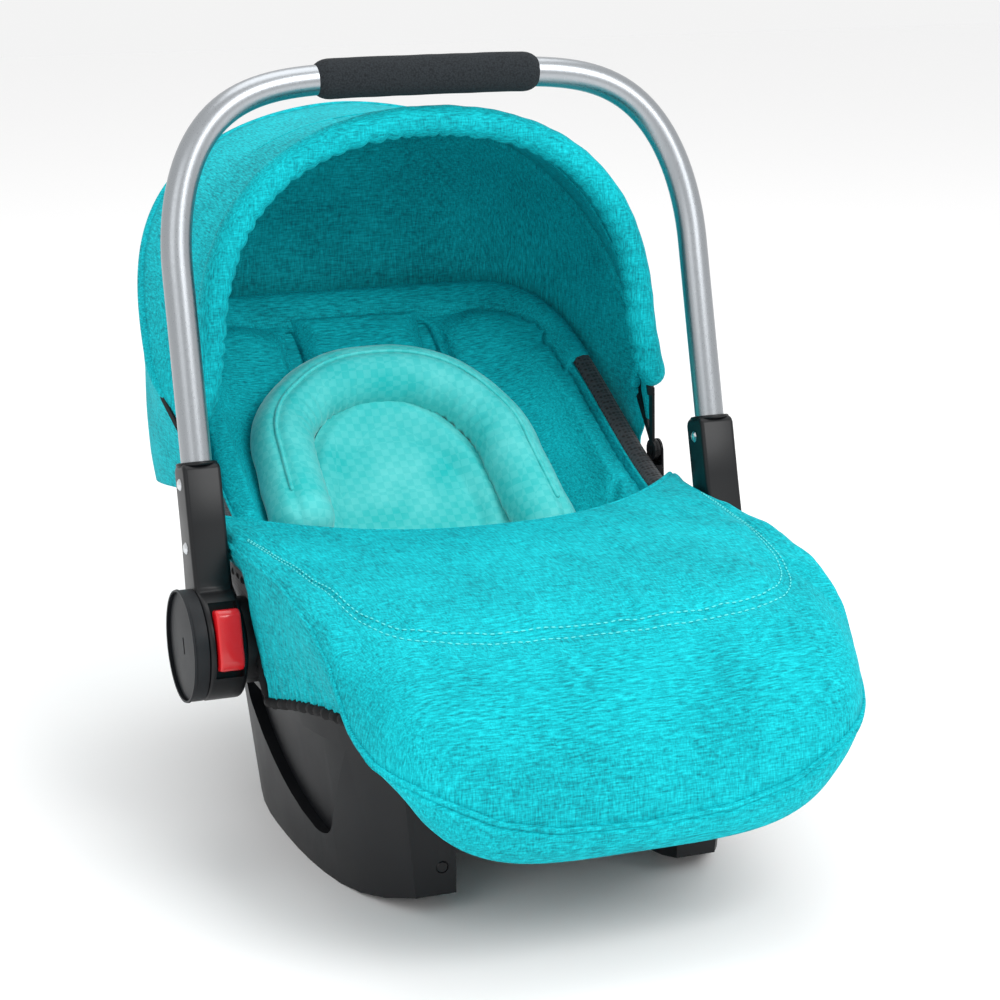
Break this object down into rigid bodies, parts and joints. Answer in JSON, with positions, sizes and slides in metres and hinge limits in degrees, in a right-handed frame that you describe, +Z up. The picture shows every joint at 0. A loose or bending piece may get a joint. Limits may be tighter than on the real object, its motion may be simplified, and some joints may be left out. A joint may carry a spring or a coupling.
{
  "type": "infant car seat",
  "caption": "Infant carrier car seat with rocker base, swivelling aluminium carry handle, folding fabric canopy, padded liner, head insert and foot cover.",
  "frame": {"origin": "on the ground under the middle of the seat's bounding box", "axes": "+Z up, +X towards the child's left side, -Y towards the foot end, +Y towards the head end"},
  "size_m": [0.444, 0.6413, 0.5476],
  "materials": {
    "grey_plastic": "fine moulded texture",
    "black_plastic": "satin moulded",
    "disc_plastic": "fine moulded texture",
    "red_plastic": "glossy",
    "aluminium_tube": "satin anodised",
    "steel": "zinc plated",
    "grip_foam": "closed-cell foam sleeve",
    "liner_foam": "expanded bead foam",
    "teal_fabric": "melange plain weave",
    "mint_velvet": "embossed check velour",
    "black_mesh": "knitted spacer mesh",
    "webbing": "ribbed polyester webbing"
  },
  "bodies": {
    "seat": {"seat_shell": "grey_plastic", "rocker_base": "grey_plastic", "base_screw_1": "steel", "base_screw_2": "steel", "base_screw_3": "steel", "base_screw_4": "steel", "hub_pivot_left": "grey_plastic", "hub_pivot_right": "grey_plastic", "canopy_clip_left": "black_plastic", "canopy_clip_right": "black_plastic", "canopy_rear_panel": "teal_fabric", "foam_liner": "liner_foam", "seat_cushion": "teal_fabric", "back_cushion": "teal_fabric", "side_bolster_left": "teal_fabric", "side_bolster_right": "teal_fabric", "rim_border": "black_mesh", "harness_strap_left": "webbing", "harness_strap_right": "webbing", "splitter_plate": "steel", "adjuster_strap": "webbing", "crotch_strap": "webbing", "crotch_anchor": "steel", "buckle_housing": "black_plastic", "buckle_tongue_left": "steel", "buckle_tongue_right": "steel", "adjuster_housing": "black_plastic", "belt_hook": "black_plastic"},
    "handle": {"handle_tube": "aluminium_tube", "handle_grip": "grip_foam", "handle_arm_left": "black_plastic", "handle_arm_right": "black_plastic", "hub_cover_left": "disc_plastic", "hub_cover_right": "disc_plastic", "arm_rivet_lower_left": "steel", "arm_rivet_lower_right": "steel", "arm_rivet_upper_left": "steel", "arm_rivet_upper_right": "steel", "button_spring_left": "steel", "button_spring_right": "steel"},
    "release_button_left": {"release_button_left": "red_plastic"},
    "release_button_right": {"release_button_right": "red_plastic"},
    "canopy_rear_bow": {"canopy_rear_bow": "black_plastic"},
    "canopy_front_bow": {"canopy_front_bow": "black_plastic", "canopy_roll": "teal_fabric", "canopy_front_panel": "teal_fabric"},
    "foot_cover": {"foot_cover": "teal_fabric"},
    "head_insert": {"insert_roll": "mint_velvet", "insert_pad": "mint_velvet"},
    "buckle_button": {"buckle_button": "red_plastic"},
    "adjuster_lever": {"adjuster_lever": "grey_plastic"}
  },
  "joints": [
    {"name": "handle_swing", "type": "hinge", "parent": "seat", "child": "handle", "pos_m": [0, -0.02, 0.153], "axis": [1, 0, 0], "range_deg": [-8, 115]},
    {"name": "release_left", "type": "slide", "parent": "handle", "child": "release_button_left", "axis": [0, 0.9632, -0.2689], "range_m": [0, 0.004], "stiffness_N_per_m": 400, "deforming": ["button_spring_left"]},
    {"name": "release_right", "type": "slide", "parent": "handle", "child": "release_button_right", "axis": [0, 0.9632, -0.2689], "range_m": [0, 0.004], "stiffness_N_per_m": 400, "deforming": ["button_spring_right"]},
    {"name": "canopy_fold", "type": "hinge", "parent": "seat", "child": "canopy_rear_bow", "pos_m": [0, 0.075, 0.237], "axis": [1, 0, 0], "range_deg": [-21, 0], "deforming": ["canopy_rear_panel"]},
    {"name": "canopy_front_fold", "type": "hinge", "parent": "canopy_rear_bow", "child": "canopy_front_bow", "pos_m": [0, 0.075, 0.237], "axis": [1, 0, 0], "range_deg": [-31.5, 0], "deforming": ["canopy_front_panel"]},
    {"name": "foot_cover_lift", "type": "slide", "parent": "seat", "child": "foot_cover", "axis": [0, 0, 1], "range_m": [0, 0.06]},
    {"name": "insert_lift", "type": "slide", "parent": "seat", "child": "head_insert", "axis": [0, -0.6691, 0.7431], "range_m": [0, 0.04]},
    {"name": "buckle_press", "type": "slide", "parent": "seat", "child": "buckle_button", "axis": [0, 0, -1], "range_m": [0, 0.003], "stiffness_N_per_m": 400},
    {"name": "adjuster_lift", "type": "hinge", "parent": "seat", "child": "adjuster_lever", "pos_m": [0, -0.2245, 0.1385], "axis": [1, 0, 0], "range_deg": [0, 20], "stiffness_Nm_per_rad": 0.3}
  ],
  "couplings": [
    {"joint": "canopy_front_fold", "follows": "canopy_fold", "ratio": 1.5}
  ]
}
